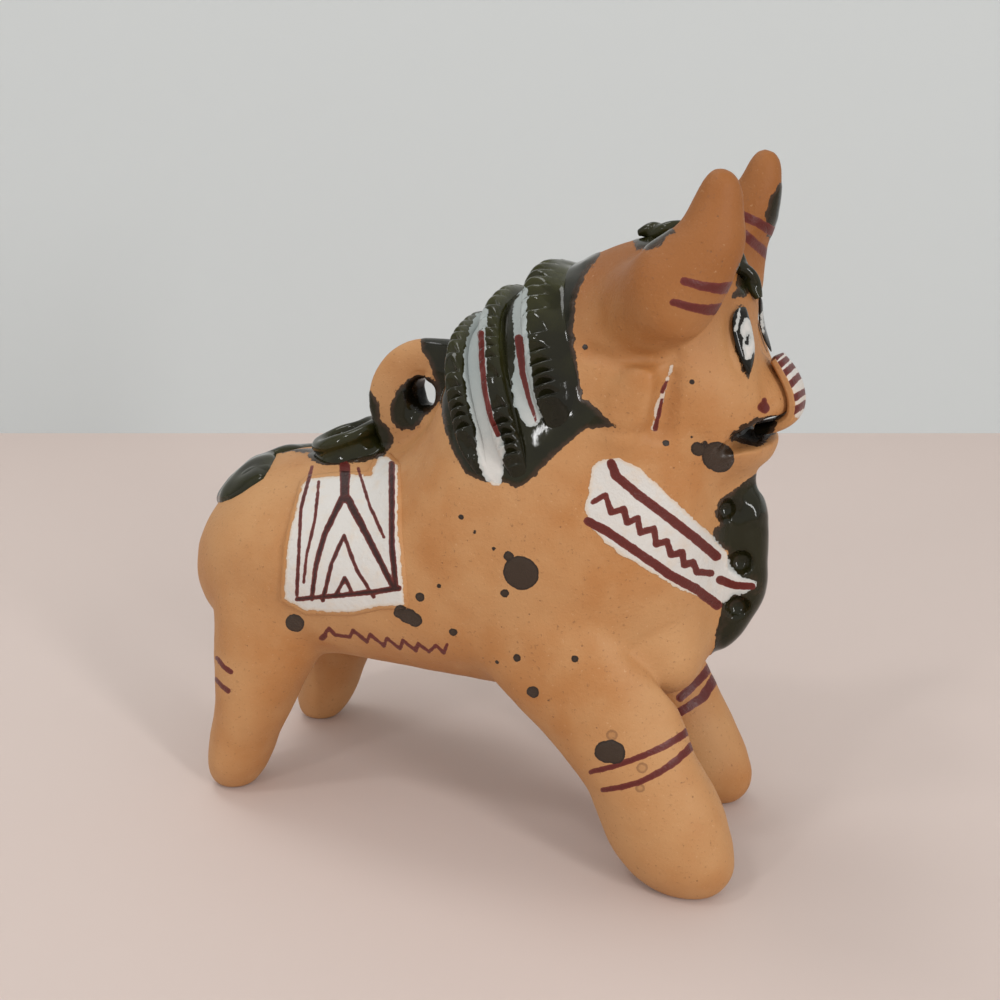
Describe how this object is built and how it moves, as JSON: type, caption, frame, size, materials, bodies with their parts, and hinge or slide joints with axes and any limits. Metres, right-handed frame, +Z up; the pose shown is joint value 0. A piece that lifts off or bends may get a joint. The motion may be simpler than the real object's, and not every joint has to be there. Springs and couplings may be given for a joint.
{
  "type": "pucara bull",
  "caption": "Hollow pottery bull vessel on splayed legs, with luted horns, ears, notched mane coils, pitted dewlap, curled tongue, pierced handle and a rolled spout.",
  "frame": {"origin": "middle of the bounding box, on the surface that the four feet stand on", "axes": "+X forward from tail to nose, +Z up, the bull's right flank towards -Y"},
  "size_m": [0.1248, 0.058, 0.1315],
  "materials": {
    "terracotta": "smooth bare fired buff-orange clay, matte to satin",
    "dark_glaze": "glossy olive to brown-black glaze",
    "white_slip": "satin white slip with dark red line painting"
  },
  "bodies": {
    "root": {"torso_right_half": "terracotta", "torso_left_half": "terracotta", "head": "terracotta", "leg_front_right": "terracotta", "leg_front_left": "terracotta", "leg_rear_right": "terracotta", "leg_rear_left": "terracotta", "horn_right": "terracotta", "horn_left": "terracotta", "ear_right": "terracotta", "ear_left": "terracotta", "tongue": "terracotta", "handle": "terracotta", "mane_coil_rear": "dark_glaze", "mane_coil_middle": "dark_glaze", "mane_coil_front": "dark_glaze", "forelock_twist": "dark_glaze", "dewlap": "dark_glaze", "spout_ring": "dark_glaze", "tail": "dark_glaze", "eye_right": "white_slip", "eye_left": "white_slip", "saddle_cloth_right": "white_slip", "saddle_cloth_left": "white_slip"}
  },
  "joints": []
}
